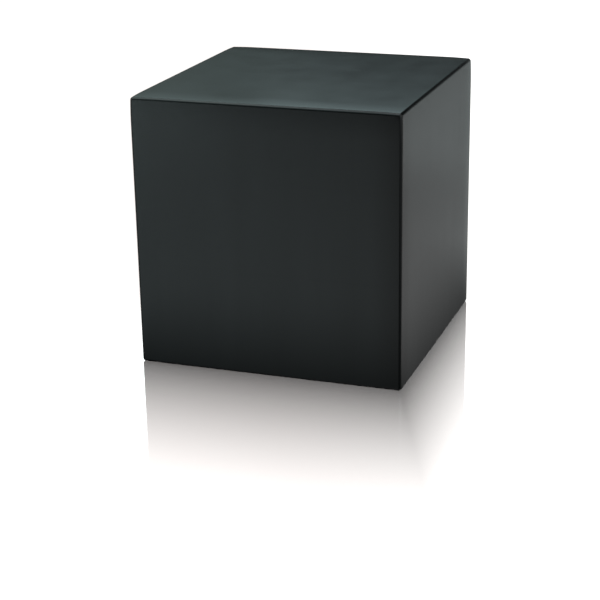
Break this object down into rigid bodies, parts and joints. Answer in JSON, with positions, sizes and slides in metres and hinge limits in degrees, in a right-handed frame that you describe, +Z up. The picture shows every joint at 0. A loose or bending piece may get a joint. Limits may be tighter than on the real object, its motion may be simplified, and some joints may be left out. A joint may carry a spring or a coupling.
{
  "type": "mirror block cube",
  "caption": "Twisty block puzzle in satin black plastic: a plain cube whose layers differ in thickness, so turning them changes its shape.",
  "frame": {"origin": "middle of the cube's bottom face", "axes": "+Z up, -Y is the front face, +X is the right-hand face; the top and bottom layers turn about Z"},
  "size_m": [0.057, 0.057, 0.057],
  "materials": {
    "block_shell": "satin",
    "inner_plastic": "matte",
    "screw_steel": "bright",
    "spring_steel": "satin"
  },
  "bodies": {
    "core": {"core": "inner_plastic", "centre_screws": "screw_steel", "spring_washers": "screw_steel", "tension_springs": "spring_steel", "edge_shell_front_right": "block_shell", "edge_foot_front_right": "inner_plastic", "edge_shell_front_left": "block_shell", "edge_foot_front_left": "inner_plastic", "edge_shell_back_right": "block_shell", "edge_foot_back_right": "inner_plastic", "edge_shell_back_left": "block_shell", "edge_foot_back_left": "inner_plastic", "centre_cap_right": "block_shell", "centre_seat_right": "inner_plastic", "centre_cap_left": "block_shell", "centre_seat_left": "inner_plastic", "centre_cap_back": "block_shell", "centre_seat_back": "inner_plastic", "centre_cap_front": "block_shell", "centre_seat_front": "inner_plastic"},
    "top_layer": {"corner_shell_top_front_right": "block_shell", "corner_foot_top_front_right": "inner_plastic", "corner_shell_top_front_left": "block_shell", "corner_foot_top_front_left": "inner_plastic", "corner_shell_top_back_right": "block_shell", "corner_foot_top_back_right": "inner_plastic", "corner_shell_top_back_left": "block_shell", "corner_foot_top_back_left": "inner_plastic", "edge_shell_top_front": "block_shell", "edge_foot_top_front": "inner_plastic", "edge_shell_top_right": "block_shell", "edge_foot_top_right": "inner_plastic", "edge_shell_top_left": "block_shell", "edge_foot_top_left": "inner_plastic", "edge_shell_top_back": "block_shell", "edge_foot_top_back": "inner_plastic", "centre_cap_top": "block_shell", "centre_seat_top": "inner_plastic"},
    "bottom_layer": {"corner_shell_bottom_front_right": "block_shell", "corner_foot_bottom_front_right": "inner_plastic", "corner_shell_bottom_front_left": "block_shell", "corner_foot_bottom_front_left": "inner_plastic", "corner_shell_bottom_back_right": "block_shell", "corner_foot_bottom_back_right": "inner_plastic", "corner_shell_bottom_back_left": "block_shell", "corner_foot_bottom_back_left": "inner_plastic", "edge_shell_bottom_front": "block_shell", "edge_foot_bottom_front": "inner_plastic", "edge_shell_bottom_right": "block_shell", "edge_foot_bottom_right": "inner_plastic", "edge_shell_bottom_left": "block_shell", "edge_foot_bottom_left": "inner_plastic", "edge_shell_bottom_back": "block_shell", "edge_foot_bottom_back": "inner_plastic", "centre_cap_bottom": "block_shell", "centre_seat_bottom": "inner_plastic"}
  },
  "joints": [
    {"name": "top_turn", "type": "hinge", "parent": "core", "child": "top_layer", "pos_m": [0.009, -0.006, 0], "axis": [0, 0, 1], "continuous": true},
    {"name": "bottom_turn", "type": "hinge", "parent": "core", "child": "bottom_layer", "pos_m": [0.009, -0.006, 0], "axis": [0, 0, -1], "continuous": true}
  ]
}
